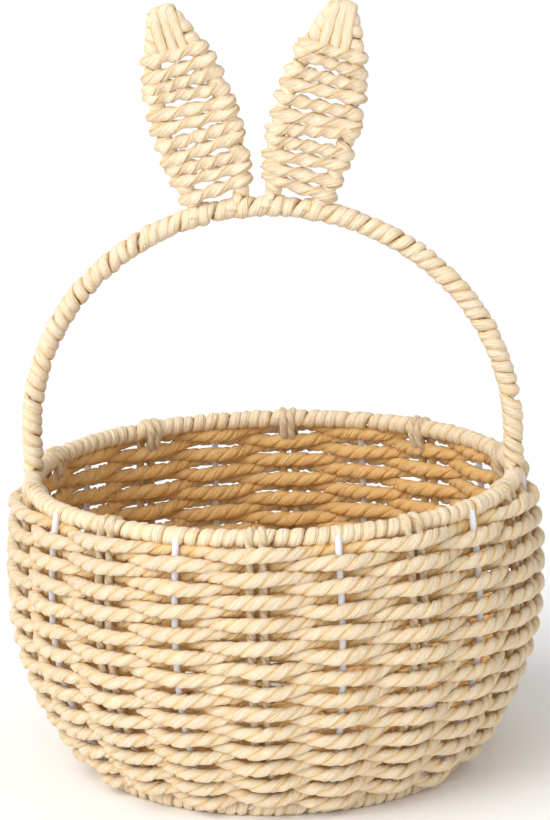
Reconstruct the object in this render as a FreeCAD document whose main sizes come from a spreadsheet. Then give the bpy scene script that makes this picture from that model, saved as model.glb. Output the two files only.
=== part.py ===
"""Easter basket: a round wire frame with a rope-woven bowl, one hoop handle and two ears.

Frame of the part: +Z up, origin on the floor under the middle of the bowl.
X runs along the handle, from its left foot to its right foot, and -Y is the front.
All sizes are in millimetres and degrees.
"""
import FreeCAD, Part
import math
import os

import Sketcher
from FreeCAD import Placement, Rotation, Vector

os.makedirs("parts", exist_ok=True)
doc = FreeCAD.newDocument("easter_basket")

# ---------------------------------------------------------------- driving sizes
SIZES = [
    ("wire_dia", 3.0),            # white steel wire of the whole frame
    ("seat_gap", 0.15),           # air between a rope and what it lies on
    ("row_gap", 0.3),             # air between one woven row and the next
    ("row_count", 26),            # woven rows in the wall
    ("rib_count", 10),            # wire ribs, with one doubled rope stake between each two
    ("belly_radius", 114.0),      # middle of the wall where the bowl is widest
    ("belly_height", 88.0),       # height of the widest place
    ("rim_inset", 7.0),           # rim ring inside the belly
    ("rim_rise", 43.2),           # rim ring above the belly
    ("foot_inset", 30.5),         # foot of the wall inside the belly
    ("foot_bend_radius", 6.0),    # bend of a rib from the wall into the floor
    ("first_row_lift", 0.6),      # first woven row above that bend
    ("base_height", 3.7),         # middle of the base ring above the floor
    ("hub_radius", 10.0),         # small ring that the ribs meet in
    ("rim_wrap_dia", 8.2),
    ("base_wrap_dia", 8.0),
    ("handle_wrap_dia", 8.6),
    ("ear_wrap_dia", 6.5),
    ("stake_dia", 3.8),           # each rope of a doubled stake
    ("stake_spacing", 5.6),
    ("stake_tail", 5.0),          # end of a stake, hanging inside the rim ring
    ("handle_leg", 19.8),         # straight foot of the handle above the rim
    ("handle_side_radius", 98.0),
    ("handle_rise", 101.7),       # top of the arch above the straight feet
    ("ear_half_width", 15.0),
    ("ear_belly", 38.0),          # widest place of an ear, above the handle
    ("ear_length", 86.0),         # centre of the ear's tip bend, above the handle
    ("ear_tip_radius", 4.5),
    ("ear_tilt", 15.0),
    ("ear_pair_shift", -3.6),     # both ears together, off the middle of the handle
    ("ear_pair_spacing", 31.8),
    ("rung_dia", 4.2),            # cross turns of the rope inside an ear
    ("rung_pitch", 6.2),
    ("first_rung", 10.0),         # lowest cross turn, above the handle
]
sheet = doc.addObject("Spreadsheet::Sheet", "sizes")
for line, (alias, number) in enumerate(SIZES, start=1):
    sheet.set(f"A{line}", alias)
    sheet.set(f"B{line}", str(number))
    sheet.setAlias(f"B{line}", alias)
doc.recompute()


def size(name):
    """A driving size, read from the sheet."""
    return float(sheet.get(name))


def worked_out(expression):
    """The number that an expression on the sheet gives."""
    return float(sheet.evalExpression(expression))


S = "sizes."
WIRE = size("wire_dia")
GAP = size("seat_gap")
ROPE_SEAT = (WIRE + size("stake_dia")) / 2 + GAP    # a stake's middle from a ring wire's middle
STEP = 360 / size("rib_count")

# Expressions that more than one sub-part uses.
RIM_RADIUS = "(sizes.belly_radius - sizes.rim_inset)"
RIM_HEIGHT = "(sizes.belly_height + sizes.rim_rise)"
SPOKE_HEIGHT = "(sizes.base_height + sizes.wire_dia)"
UPPER_BEND = (
    "((sizes.rim_inset^2 + sizes.rim_rise^2 - sizes.wire_dia^2)"
    " / (2 * (sizes.rim_inset - sizes.wire_dia)))"
)
LOWER_DROP = f"(sizes.belly_height - {SPOKE_HEIGHT})"
LOWER_BEND = f"((sizes.foot_inset^2 + {LOWER_DROP}^2) / (2 * sizes.foot_inset))"
BASE_RADIUS = (
    f"(sizes.belly_radius - {LOWER_BEND} + sqrt(({LOWER_BEND} - sizes.foot_bend_radius)^2"
    f" - ({LOWER_DROP} - sizes.foot_bend_radius)^2))"
)
CROWN_OFFSET = f"({RIM_RADIUS} - sizes.handle_side_radius)"
CROWN_BEND = (
    f"(({CROWN_OFFSET}^2 + sizes.handle_rise^2 - sizes.handle_side_radius^2)"
    " / (2 * (sizes.handle_rise - sizes.handle_side_radius)))"
)
CROWN_TOP = f"({RIM_HEIGHT} + sizes.handle_leg + sizes.handle_rise)"
EAR_REACH = "(sizes.ear_length - sizes.ear_belly)"
EAR_BEND = (
    f"(({EAR_REACH}^2 / (sizes.ear_half_width - sizes.ear_tip_radius)"
    " + sizes.ear_tip_radius + sizes.ear_half_width) / 2)"
)
rim_radius = worked_out(RIM_RADIUS)
rim_height = worked_out(RIM_HEIGHT)
base_radius = worked_out(BASE_RADIUS)
base_height = size("base_height")
crown_bend = worked_out(CROWN_BEND)
crown_centre = worked_out(CROWN_TOP) - crown_bend


# ---------------------------------------------------------------- the wall's curve
class Wall:
    """The wall's middle line in one upright plane, as (r, z), for a wire or a stake.

    It rises from the floor bend on the lower arc to the belly, and on the upper arc
    until it meets a circle of radius `seat` about the rim ring.
    """

    def __init__(self, seat):
        belly, height = size("belly_radius"), size("belly_height")
        inset, rise = size("rim_inset"), size("rim_rise")
        bend = size("foot_bend_radius")
        self.seat = seat
        self.spoke_z = base_height + seat
        drop = height - self.spoke_z
        self.low_r = (size("foot_inset") ** 2 + drop ** 2) / (2 * size("foot_inset"))
        self.low_centre = (belly - self.low_r, height)
        reach = math.sqrt((self.low_r - bend) ** 2 - (drop - bend) ** 2)
        self.bend_centre = (self.low_centre[0] + reach, self.spoke_z + bend)
        self.low_angle = math.atan2(drop - bend, reach)
        self.up_r = (inset ** 2 + rise ** 2 - seat ** 2) / (2 * (inset - seat))
        self.up_centre = (belly - self.up_r, height)
        self.up_angle = math.atan2(rise, self.up_r - inset)
        self.low_length = self.low_r * self.low_angle
        self.length = self.low_length + self.up_r * self.up_angle

    def at(self, share):
        """Point and outward direction at a share of the length, 0 at the foot, 1 at the rim."""
        along = share * self.length - self.low_length
        arc = (self.low_centre, self.low_r) if along < 0 else (self.up_centre, self.up_r)
        angle = along / arc[1]
        out = (math.cos(angle), math.sin(angle))
        return (arc[0][0] + arc[1] * out[0], arc[0][1] + arc[1] * out[1]), out


rib_wall = Wall(WIRE)
stake_wall = Wall(ROPE_SEAT)


# ---------------------------------------------------------------- shared helpers
def arc(start, middle, end):
    return Part.Arc(start, middle, end).toShape()


def arc_about(centre, radius, first, last):
    """An arc in the XZ plane about (x, z), from one angle to another."""
    points = []
    for angle in (first, (first + last) / 2, last):
        points.append(Vector(centre[0] + radius * math.cos(angle), 0,
                             centre[1] + radius * math.sin(angle)))
    return arc(*points)


def straight(start, end):
    return Part.LineSegment(start, end).toShape()


def tube(edges, radius):
    """A round tube along edges that follow each other smoothly."""
    path = Part.Wire(edges)
    first = edges[0]
    start = first.valueAt(first.FirstParameter)
    ahead = first.tangentAt(first.FirstParameter)
    ring = Part.Wire(Part.makeCircle(radius, start, ahead))
    return path.makePipe(Part.Face(ring))


def turned(shape, angle, about=Vector(0, 0, 0), axis=Vector(0, 0, 1)):
    copy = shape.copy()
    copy.rotate(about, axis, angle)
    return copy


def named_feature(label, shape):
    """A sub-part whose shape is worked out here from the sheet's sizes."""
    piece = doc.addObject("Part::Feature", label)
    place = shape.Placement
    piece.Shape = shape
    piece.Placement = place
    return piece


def bind(piece, **expressions):
    for prop, expression in expressions.items():
        piece.setExpression(prop.replace("__", "."), expression)


def ring(label, radius, thickness, height):
    """A closed ring of round wire or rope, lying level."""
    piece = doc.addObject("Part::Torus", label)
    bind(piece, Radius1=radius, Radius2=f"{thickness} / 2", Placement__Base__z=height)
    return piece


def bored(label, rope, tools):
    """A rope sleeve with the room for every wire and rope that it lies round."""
    return named_feature(label, rope.cut(tools))


def smooth_sketch(owner, name, plane, edges):
    """A sketch of lines and arcs joined end to end, each smooth into the next."""
    if owner is None:
        sketch = doc.addObject("Sketcher::SketchObject", name)
        sketch.Placement = Placement(Vector(0, 0, 0), Rotation(Vector(1, 0, 0), 90))
    else:
        sketch = owner.newObject("Sketcher::SketchObject", name)
        attach(sketch, owner, plane)
    sketch.addGeometry(edges, False)
    for index in range(len(edges) - 1):
        ends = [joint_end(edges[index], edges[index + 1]), joint_end(edges[index + 1], edges[index])]
        sketch.addConstraint(Sketcher.Constraint("Tangent", index, ends[0], index + 1, ends[1]))
    return sketch


def joint_end(edge, neighbour):
    """1 where the edge's own start is the shared point, or 2 where its end is."""
    near = [neighbour.StartPoint, neighbour.EndPoint]
    start = min(edge.StartPoint.distanceToPoint(point) for point in near)
    end = min(edge.EndPoint.distanceToPoint(point) for point in near)
    return 1 if start < end else 2


def attach(sketch, body, role):
    plane = [feature for feature in body.Origin.OriginFeatures if feature.Role == role][0]
    sketch.AttachmentSupport = [(plane, "")]
    sketch.MapMode = "FlatFace"


def measure(sketch, name, kind, *where, expression):
    """A named sketch dimension, bound to the sheet."""
    number = worked_out(expression)
    index = sketch.addConstraint(Sketcher.Constraint(kind, *where, number))
    sketch.renameConstraint(index, name)
    sketch.setExpression(f"Constraints.{name}", expression)


def flat_arc(centre, radius, first, last):
    """A sketch arc, drawn counter-clockwise between two angles."""
    low, high = min(first, last), max(first, last)
    circle = Part.Circle(Vector(centre[0], centre[1], 0), Vector(0, 0, 1), radius)
    return Part.ArcOfCircle(circle, low, high)


def flat_line(start, end):
    return Part.LineSegment(Vector(start[0], start[1], 0), Vector(end[0], end[1], 0))


def round_profile(body, name, plane, centre, offset):
    """A wire's round section, on a plane of its own body moved along its normal."""
    sketch = body.newObject("Sketcher::SketchObject", name)
    attach(sketch, body, plane)
    bind(sketch, AttachmentOffset__Base__z=offset)
    numbers = [worked_out(expression) for expression in centre]
    circle = Part.Circle(Vector(numbers[0], numbers[1], 0), Vector(0, 0, 1), WIRE / 2)
    sketch.addGeometry(circle, False)
    measure(sketch, "dia", "Diameter", 0, expression="sizes.wire_dia")
    measure(sketch, "across", "DistanceX", -1, 1, 0, 3, expression=centre[0])
    measure(sketch, "up", "DistanceY", -1, 1, 0, 3, expression=centre[1])
    return sketch


def pipe(body, profile, path):
    feature = body.newObject("PartDesign::AdditivePipe", f"{body.Name}_pipe")
    feature.Profile = profile
    feature.Spine = (path, [f"Edge{edge + 1}" for edge in range(path.GeometryCount)])
    profile.Visibility = False
    return feature


# ---------------------------------------------------------------- wire frame
rim_ring = ring("rim_ring", RIM_RADIUS, "sizes.wire_dia", RIM_HEIGHT)
base_ring = ring("base_ring", BASE_RADIUS, "sizes.wire_dia", "sizes.base_height")
hub_ring = ring("hub_ring", "sizes.hub_radius", "sizes.wire_dia", SPOKE_HEIGHT)


def rib(label, angle):
    """One frame wire: a spoke from the hub over the base ring, then up the wall to the rim."""
    body = doc.addObject("PartDesign::Body", label)
    wall = rib_wall
    bend = size("foot_bend_radius")
    start = (size("hub_radius") + WIRE / 2, wall.spoke_z)
    edges = [
        flat_line(start, (wall.bend_centre[0], wall.spoke_z)),
        flat_arc(wall.bend_centre, bend, -math.pi / 2, -wall.low_angle),
        flat_arc(wall.low_centre, wall.low_r, -wall.low_angle, 0),
        flat_arc(wall.up_centre, wall.up_r, 0, wall.up_angle),
    ]
    path = smooth_sketch(body, f"{label}_path", "XZ_Plane", edges)
    path.addConstraint(Sketcher.Constraint("Horizontal", 0))
    hub = "(sizes.hub_radius + sizes.wire_dia / 2)"
    top = f"(sizes.belly_height + {UPPER_BEND} * sizes.rim_rise / ({UPPER_BEND} - sizes.wire_dia))"
    measure(path, "spoke_start", "DistanceX", -1, 1, 0, 1, expression=hub)
    measure(path, "spoke_height", "DistanceY", -1, 1, 0, 1, expression=SPOKE_HEIGHT)
    measure(path, "bend", "Radius", 1, expression="sizes.foot_bend_radius")
    measure(path, "lower_bend", "Radius", 2, expression=LOWER_BEND)
    measure(path, "upper_bend", "Radius", 3, expression=UPPER_BEND)
    measure(path, "belly", "DistanceY", -1, 1, 2, 3, expression="sizes.belly_height")
    measure(path, "shoulder", "DistanceY", -1, 1, 3, 3, expression="sizes.belly_height")
    measure(path, "reach", "DistanceX", -1, 1, 2, 2, expression="sizes.belly_radius")
    measure(path, "rim_end", "DistanceY", -1, 1, 3, 2, expression=top)
    profile = round_profile(body, f"{label}_section", "YZ_Plane", ("0", SPOKE_HEIGHT), hub)
    pipe(body, profile, path)
    body.Placement = Placement(Vector(0, 0, 0), Rotation(Vector(0, 0, 1), angle))
    return body


FRONT = -90
ribs = []
for number in range(int(size("rib_count"))):
    ribs.append(rib(f"rib_{number + 1:02d}", FRONT + STEP * (number + 0.5)))


def handle():
    """The hoop that stands on the rim ring: two straight feet and a three-arc arch."""
    body = doc.addObject("PartDesign::Body", "handle_hoop")
    side = size("handle_side_radius")
    foot = rim_height + WIRE / 2
    spring = rim_height + size("handle_leg")
    turn = math.atan2(spring - crown_centre, rim_radius - side)
    left, right = (side - rim_radius, spring), (rim_radius - side, spring)
    edges = [
        flat_line((-rim_radius, foot), (-rim_radius, spring)),
        flat_arc(left, side, math.pi - turn, math.pi),
        flat_arc((0, crown_centre), crown_bend, turn, math.pi - turn),
        flat_arc(right, side, 0, turn),
        flat_line((rim_radius, spring), (rim_radius, foot)),
    ]
    path = smooth_sketch(body, "handle_path", "XZ_Plane", edges)
    path.addConstraint(Sketcher.Constraint("Vertical", 0))
    path.addConstraint(Sketcher.Constraint("Vertical", 4))
    foot_height = f"({RIM_HEIGHT} + sizes.wire_dia / 2)"
    measure(path, "left_foot", "DistanceX", 0, 1, -1, 1, expression=RIM_RADIUS)
    measure(path, "left_height", "DistanceY", -1, 1, 0, 1, expression=foot_height)
    measure(path, "right_foot", "DistanceX", -1, 1, 4, 2, expression=RIM_RADIUS)
    measure(path, "right_height", "DistanceY", -1, 1, 4, 2, expression=foot_height)
    spring_height = f"({RIM_HEIGHT} + sizes.handle_leg)"
    measure(path, "left_leg", "DistanceY", -1, 1, 0, 2, expression=spring_height)
    measure(path, "right_leg", "DistanceY", -1, 1, 4, 1, expression=spring_height)
    measure(path, "left_bend", "Radius", 1, expression="sizes.handle_side_radius")
    measure(path, "crown_bend", "Radius", 2, expression=CROWN_BEND)
    measure(path, "right_bend", "Radius", 3, expression="sizes.handle_side_radius")
    profile = round_profile(body, "handle_section", "XY_Plane", (f"-{RIM_RADIUS}", "0"), foot_height)
    pipe(body, profile, path)
    return body


def handle_edges(foot):
    """The handle's middle line as edges, from height foot on one side to the other."""
    side = size("handle_side_radius")
    spring = rim_height + size("handle_leg")
    turn = math.atan2(spring - crown_centre, rim_radius - side)
    return [
        straight(Vector(-rim_radius, 0, foot), Vector(-rim_radius, 0, spring)),
        arc_about((side - rim_radius, spring), side, math.pi, math.pi - turn),
        arc_about((0, crown_centre), crown_bend, math.pi - turn, turn),
        arc_about((rim_radius - side, spring), side, turn, 0),
        straight(Vector(rim_radius, 0, spring), Vector(rim_radius, 0, foot)),
    ]


handle_hoop = handle()

# ---------------------------------------------------------------- ears
EAR_SIDES = (("left", -1), ("right", 1))
EAR_SINK = 3 * WIRE           # an ear's feet are drawn this far down, then cut at the handle


def ear_edges():
    """An ear's middle line, upright, its foot on the origin: side, tip bend, side."""
    half, belly = size("ear_half_width"), size("ear_belly")
    tip, far = size("ear_tip_radius"), size("ear_length")
    bend = worked_out(EAR_BEND)
    turn = math.atan2(far - belly, bend - half)
    foot = -math.asin((belly + EAR_SINK) / bend)
    left, right = (bend - half, belly), (half - bend, belly)
    return [
        arc_about(left, bend, math.pi - foot, math.pi - turn),
        arc_about((0, far), tip, math.pi - turn, turn),
        arc_about(right, bend, turn, foot),
    ]


def ear_placement(side):
    """Where an ear stands: its foot on the handle's crown, leaning outwards."""
    across = size("ear_pair_shift") + side * size("ear_pair_spacing") / 2
    up = crown_centre + math.sqrt(crown_bend ** 2 - across ** 2)
    return Placement(Vector(across, 0, up), Rotation(Vector(0, 1, 0), side * size("ear_tilt")))


def ear_tube(side, radius):
    shape = tube(ear_edges(), radius)
    shape.Placement = ear_placement(side)
    return shape


def handle_drum(clear):
    """Everything below a line that follows the handle's crown, clear above its middle line."""
    wide = size("handle_wrap_dia")
    return Part.makeCylinder(crown_bend + clear, 2 * wide, Vector(0, -wide, crown_centre),
                             Vector(0, 1, 0))


ear_hoops = []
for word, side in EAR_SIDES:
    hoop = doc.addObject("Part::Cut", f"ear_hoop_{word}")
    hoop.Base = named_feature(f"ear_wire_{word}", ear_tube(side, WIRE / 2))
    hoop.Tool = named_feature(f"ear_seat_{word}", handle_drum(WIRE / 2))
    ear_hoops.append(hoop)

# ---------------------------------------------------------------- woven rows
ROWS = int(size("row_count"))
room = rib_wall.length - size("first_row_lift") - size("rim_wrap_dia") / 2 - GAP
PITCH = (room + size("row_gap") / 2) / (ROWS - 0.5)
ROPE = PITCH - size("row_gap")


def smooth_step(start, ahead, end, on):
    """Two arcs that leave start along ahead and reach end along on."""
    across = end - start
    both = ahead + on
    a = 2 * (ahead.dot(on) - 1)
    b = -2 * across.dot(both)
    c = across.dot(across)
    reach = (-b - math.sqrt(b * b - 4 * a * c)) / (2 * a)
    joint = (start + end + (ahead - on) * reach) * 0.5
    return [arc_from(start, ahead, joint), arc_into(joint, end, on)]


def arc_middle(start, ahead, end):
    """The middle point of the arc that leaves start along ahead and passes end."""
    chord = end - start
    normal = ahead.cross(chord).normalize()
    inward = normal.cross(ahead)
    radius = chord.dot(chord) / (2 * chord.dot(inward))
    centre = start + inward * radius
    out = ((start + end) * 0.5 - centre).normalize()
    return centre + out * abs(radius)


def arc_from(start, ahead, end):
    return arc(start, arc_middle(start, ahead, end), end)


def arc_into(start, end, on):
    return arc(start, arc_middle(end, on * -1, start), end)


def wave_ring(places, radius):
    """A closed rope that goes level through each place: (angle, r, z) in degrees and mm."""
    points, levels = [], []
    for angle, out, up in places:
        turn = math.radians(angle)
        points.append(Vector(out * math.cos(turn), out * math.sin(turn), up))
        levels.append(Vector(-math.sin(turn), math.cos(turn), 0))
    edges = []
    for index in range(len(points)):
        following = (index + 1) % len(points)
        edges += smooth_step(points[index], levels[index], points[following], levels[following])
    return tube(edges, radius)


def stake_swing(out):
    """How far a row stands off a doubled stake's middle, at distance out from the axis."""
    stand = (size("stake_dia") + ROPE) / 2 + GAP
    half_wave = math.pi * out / size("rib_count")
    curve = 2 * stand / ((half_wave ** 2) / 4 + stand ** 2) + 1 / out
    return stand + (size("stake_spacing") / 2) ** 2 / 2 * curve


RIB_SWING = (WIRE + ROPE) / 2 + GAP


def weave_row(number):
    """One round of rope in the wall: behind the ribs and before the stakes, or the reverse."""
    along = size("first_row_lift") + PITCH * (number - 1)
    share = along / rib_wall.length
    over_ribs = 1 if (ROWS - number) % 2 else -1
    places = []
    for index in range(2 * int(size("rib_count"))):
        if index % 2:
            (out, up), normal = rib_wall.at(share)
            swing = over_ribs * RIB_SWING
        else:
            (out, up), normal = stake_wall.at(share)
            swing = -over_ribs * stake_swing(out)
        places.append((FRONT + index * STEP / 2, out + normal[0] * swing, up + normal[1] * swing))
    return wave_ring(places, ROPE / 2)


rows = []
for number in range(1, ROWS + 1):
    rows.append(named_feature(f"weave_row_{number:02d}", weave_row(number)))


# ---------------------------------------------------------------- rope stakes
def stake_edges():
    """One rope of a stake: tucked over the base ring, up the wall, and over the rim ring."""
    wall, seat = stake_wall, ROPE_SEAT
    bend = size("foot_bend_radius")
    tuck = Vector(base_radius - size("base_wrap_dia") / 2, 0, wall.spoke_z)
    foot = Vector(wall.bend_centre[0], 0, wall.spoke_z)
    inner = Vector(rim_radius - seat, 0, rim_height)
    tail = Vector(rim_radius - seat, 0, rim_height - size("stake_tail"))
    return [
        straight(tuck, foot),
        arc_about(wall.bend_centre, bend, -math.pi / 2, -wall.low_angle),
        arc_about(wall.low_centre, wall.low_r, -wall.low_angle, 0),
        arc_about(wall.up_centre, wall.up_r, 0, wall.up_angle),
        arc_about((rim_radius, rim_height), seat, wall.up_angle, math.pi),
        straight(inner, tail),
    ]


def stake(angle, radius):
    """Both ropes of one stake, side by side."""
    rope = tube(stake_edges(), radius)
    ropes = []
    for side in (-1, 1):
        copy = rope.copy()
        copy.translate(Vector(0, side * size("stake_spacing") / 2, 0))
        ropes.append(turned(copy, angle))
    return ropes


stakes = []
stake_bores = []
for number in range(int(size("rib_count"))):
    angle = FRONT + STEP * number
    stakes.append(named_feature(f"stake_{number + 1:02d}",
                                Part.makeCompound(stake(angle, size("stake_dia") / 2))))
    stake_bores += stake(angle, size("stake_dia") / 2 + GAP)

# ---------------------------------------------------------------- rope round the rings
bore = WIRE / 2 + GAP
rib_line = [
    straight(Vector(base_radius / 2, 0, rib_wall.spoke_z),
             Vector(rib_wall.bend_centre[0], 0, rib_wall.spoke_z)),
    arc_about(rib_wall.bend_centre, size("foot_bend_radius"), -math.pi / 2, -rib_wall.low_angle),
    arc_about(rib_wall.low_centre, rib_wall.low_r, -rib_wall.low_angle, 0),
    arc_about(rib_wall.up_centre, rib_wall.up_r, 0, rib_wall.up_angle),
]
rib_top = rib_line[-1].valueAt(rib_line[-1].LastParameter)
rib_bore = tube(rib_line, bore).fuse(Part.makeSphere(bore, rib_top))
rib_bores = []
for number in range(int(size("rib_count"))):
    rib_bores.append(turned(rib_bore, FRONT + STEP * (number + 0.5)))
foot_bores = []
for side in (-1, 1):
    foot_bores.append(Part.makeCylinder(bore, size("rim_wrap_dia"),
                                        Vector(side * rim_radius, 0, rim_height)))


def ring_bore(radius, height):
    return Part.makeTorus(radius, bore, Vector(0, 0, height))


def rim_sleeve(angle):
    """The rope round the rim ring from one stake to the next, with room for the rib's end."""
    hooks = (size("stake_spacing") + size("stake_dia")) / 2 + GAP
    gap_angle = math.degrees(math.asin(hooks / rim_radius))
    middle = Vector(rim_radius, 0, rim_height)
    outside = Part.Wire(Part.makeCircle(size("rim_wrap_dia") / 2, middle, Vector(0, 1, 0)))
    inside = Part.Wire(Part.makeCircle(bore, middle, Vector(0, 1, 0)))
    section = Part.Face(outside).cut(Part.Face(inside)).Faces[0]
    sleeve = section.revolve(Vector(0, 0, 0), Vector(0, 0, 1), STEP - 2 * gap_angle)
    sleeve = turned(sleeve, gap_angle - STEP / 2)
    last = rib_line[-1]
    down = last.tangentAt(last.LastParameter) * -1
    rib_end = Part.makeCylinder(bore, size("rim_wrap_dia"), rib_top, down)
    return turned(sleeve.cut(rib_end).cut(Part.makeSphere(bore, rib_top)), angle)


rim_parts = []
for number in range(int(size("rib_count"))):
    sleeve = rim_sleeve(FRONT + STEP * (number + 0.5))
    near = [foot for foot in foot_bores if foot.distToShape(sleeve)[0] < GAP]
    rim_parts += (sleeve.cut(near) if near else sleeve).Solids
rim_wrap = named_feature("rim_wrap", Part.makeCompound(rim_parts))

base_rope = Part.makeTorus(base_radius, size("base_wrap_dia") / 2, Vector(0, 0, base_height))
slab = Part.makeBox(4 * base_radius, 4 * base_radius, size("base_wrap_dia"),
                    Vector(-2 * base_radius, -2 * base_radius, -size("base_wrap_dia")))
base_wrap = bored("base_wrap", base_rope.cut(slab),
                  [ring_bore(base_radius, base_height)] + rib_bores + stake_bores)

wrap_foot = rim_height + size("rim_wrap_dia") / 2 + GAP
handle_rope = tube(handle_edges(wrap_foot), size("handle_wrap_dia") / 2)
handle_wrap = bored("handle_wrap", handle_rope,
                    [tube(handle_edges(rim_height), bore), ear_tube(-1, bore), ear_tube(1, bore)])

ear_wraps = []
for word, side in EAR_SIDES:
    drum = handle_drum(size("handle_wrap_dia") / 2 + GAP)
    ear_rope = ear_tube(side, size("ear_wrap_dia") / 2)
    ear_wraps.append(bored(f"ear_wrap_{word}", ear_rope, [drum, ear_tube(side, bore)]))


# ---------------------------------------------------------------- rope across the ears
def ear_lacing(side):
    """Cross turns of rope from one side of an ear to the other, one above another."""
    bend, half = worked_out(EAR_BEND), size("ear_half_width")
    sleeve = tube(ear_edges(), size("ear_wrap_dia") / 2 + GAP)
    last = size("ear_length") - size("ear_wrap_dia")
    rungs = []
    up = size("first_rung")
    while up < last:
        reach = half - bend + math.sqrt(bend ** 2 - (up - size("ear_belly")) ** 2)
        rung = Part.makeCylinder(size("rung_dia") / 2, 2 * reach, Vector(-reach, 0, up),
                                 Vector(1, 0, 0))
        rungs.append(rung.cut(sleeve))
        up += size("rung_pitch")
    shape = Part.makeCompound([solid for rung in rungs for solid in rung.Solids])
    shape.Placement = ear_placement(side)
    return shape


lacings = []
for word, side in EAR_SIDES:
    lacings.append(named_feature(f"ear_lacing_{word}", ear_lacing(side)))


# ---------------------------------------------------------------- woven floor
def base_weave():
    """Rounds of rope over and under the spokes, from the hub out to the base ring."""
    inner = size("hub_radius") + (WIRE + ROPE) / 2 + GAP
    outer = base_radius - (size("base_wrap_dia") + ROPE) / 2 - GAP
    count = int((outer - inner) / PITCH) + 1
    pitch = (outer - inner) / (count - 1)
    rounds = []
    for number in range(count):
        places = []
        for index in range(int(size("rib_count"))):
            swing = RIB_SWING * (1 if (index + number) % 2 else -1)
            places.append((FRONT + STEP * (index + 0.5), inner + number * pitch,
                           rib_wall.spoke_z + swing))
        rounds.append(wave_ring(places, ROPE / 2))
    return Part.makeCompound(rounds)


floor_weave = named_feature("base_weave", base_weave())

# ---------------------------------------------------------------- check and write
doc.recompute()
nodes = [rim_ring, base_ring, hub_ring] + ribs + [handle_hoop] + ear_hoops + stakes + rows
nodes += [rim_wrap, base_wrap, handle_wrap] + ear_wraps + lacings + [floor_weave]
for piece in doc.Objects:
    if "Invalid" in piece.State or "Error" in piece.State:
        raise RuntimeError(f"{piece.Label} did not build: {piece.State}")
for node in nodes:
    if node.Shape.isNull() or not node.Shape.isValid():
        raise RuntimeError(f"{node.Label} has no valid shape")
for node in nodes:
    node.Shape.exportStep(f"parts/{node.Label}.step")
    print(f"{node.Label}: {len(node.Shape.Solids)} solid(s), {node.Shape.Volume:.0f} mm3")
print(f"{len(nodes)} nodes, rope {ROPE:.2f} mm, pitch {PITCH:.2f} mm")
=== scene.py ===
# %% [markdown]
# # An Easter basket of twisted paper rope
# The real basket has a skeleton of white coated steel wire: a rim ring, a base ring, ten
# ribs, a hoop handle and two leaf-shaped ears. Everything else is one kind of pale paper
# rope, woven through the ribs, wound round the rings and laced across the ears. The wires
# come finished from the design model, so this lesson makes the ropes.

# %% Load the frame
import math

import bmesh
import bpy
import numpy as np
from mathutils import Matrix, Vector


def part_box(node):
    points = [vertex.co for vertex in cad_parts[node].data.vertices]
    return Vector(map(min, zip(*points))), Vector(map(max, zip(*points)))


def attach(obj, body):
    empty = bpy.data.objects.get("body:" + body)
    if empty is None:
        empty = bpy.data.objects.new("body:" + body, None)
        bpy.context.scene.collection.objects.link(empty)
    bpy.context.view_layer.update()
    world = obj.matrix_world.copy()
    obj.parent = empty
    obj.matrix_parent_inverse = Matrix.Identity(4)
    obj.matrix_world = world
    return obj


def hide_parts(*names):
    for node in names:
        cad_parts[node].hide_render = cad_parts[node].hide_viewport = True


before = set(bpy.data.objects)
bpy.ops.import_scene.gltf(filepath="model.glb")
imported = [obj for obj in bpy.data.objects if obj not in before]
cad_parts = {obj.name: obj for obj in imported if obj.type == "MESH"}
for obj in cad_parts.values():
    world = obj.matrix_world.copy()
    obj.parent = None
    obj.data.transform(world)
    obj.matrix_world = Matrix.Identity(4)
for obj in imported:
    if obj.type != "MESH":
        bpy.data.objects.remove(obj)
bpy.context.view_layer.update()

MM = 0.001
print("nodes in the frame:", len(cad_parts))

# %% [markdown]
# ## Sizes
# A rope has to lie exactly on the wire that it was wound round. So the sizes of the rings,
# the ribs and the handle are read back from the frame, and only what a box can't tell,
# such as the height of the belly, is written here again.

# %% Read the wire frame's sizes
def span(node):
    """How far a node reaches along X, Y and Z."""
    low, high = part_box(node)
    return high - low


def level(node):
    """The height of a node's middle."""
    low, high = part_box(node)
    return (low.z + high.z) / 2


WIRE = span("rim_ring").z
RIM_R = (span("rim_ring").x - WIRE) / 2
RIM_Z = level("rim_ring")
BASE_R = (span("base_ring").x - WIRE) / 2
BASE_Z = level("base_ring")
HUB_R = (span("hub_ring").x - WIRE) / 2
SPOKE_Z = level("hub_ring")
BELLY_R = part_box("rib_03")[1].x - WIRE / 2
BELLY_Z = 88 * MM
FLOOR_BEND = 6 * MM
ROWS = len([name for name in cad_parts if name.startswith("weave_row")])
RIBS = len([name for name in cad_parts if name.startswith("rib_")])
FRONT = -math.pi / 2
print(f"wire {WIRE / MM:.1f} mm, rim {2 * RIM_R / MM:.0f} mm across,",
      f"{ROWS} rows, {RIBS} ribs")

# %% [markdown]
# ## The camera, the floor and the light
# A long lens from a little above the rim shows the bowl's inside through its mouth. The
# light is that of a white studio: an even surround, a large soft key lamp from the upper
# left that gives the ropes their shape, a still softer fill lamp from low in front that
# opens the shadows between them and reaches the inside of the bowl, and a white floor.

# %% Aim the camera
CAMERA_AZIMUTH = math.radians(4.0)
CAMERA_HEIGHT = math.radians(13.42)
CAMERA_ROLL = math.radians(-1.48)
CAMERA_REACH = 1.706
LENS = 169.0
TARGET = Vector((1.67 * MM, 0, 160.82 * MM))


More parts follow.
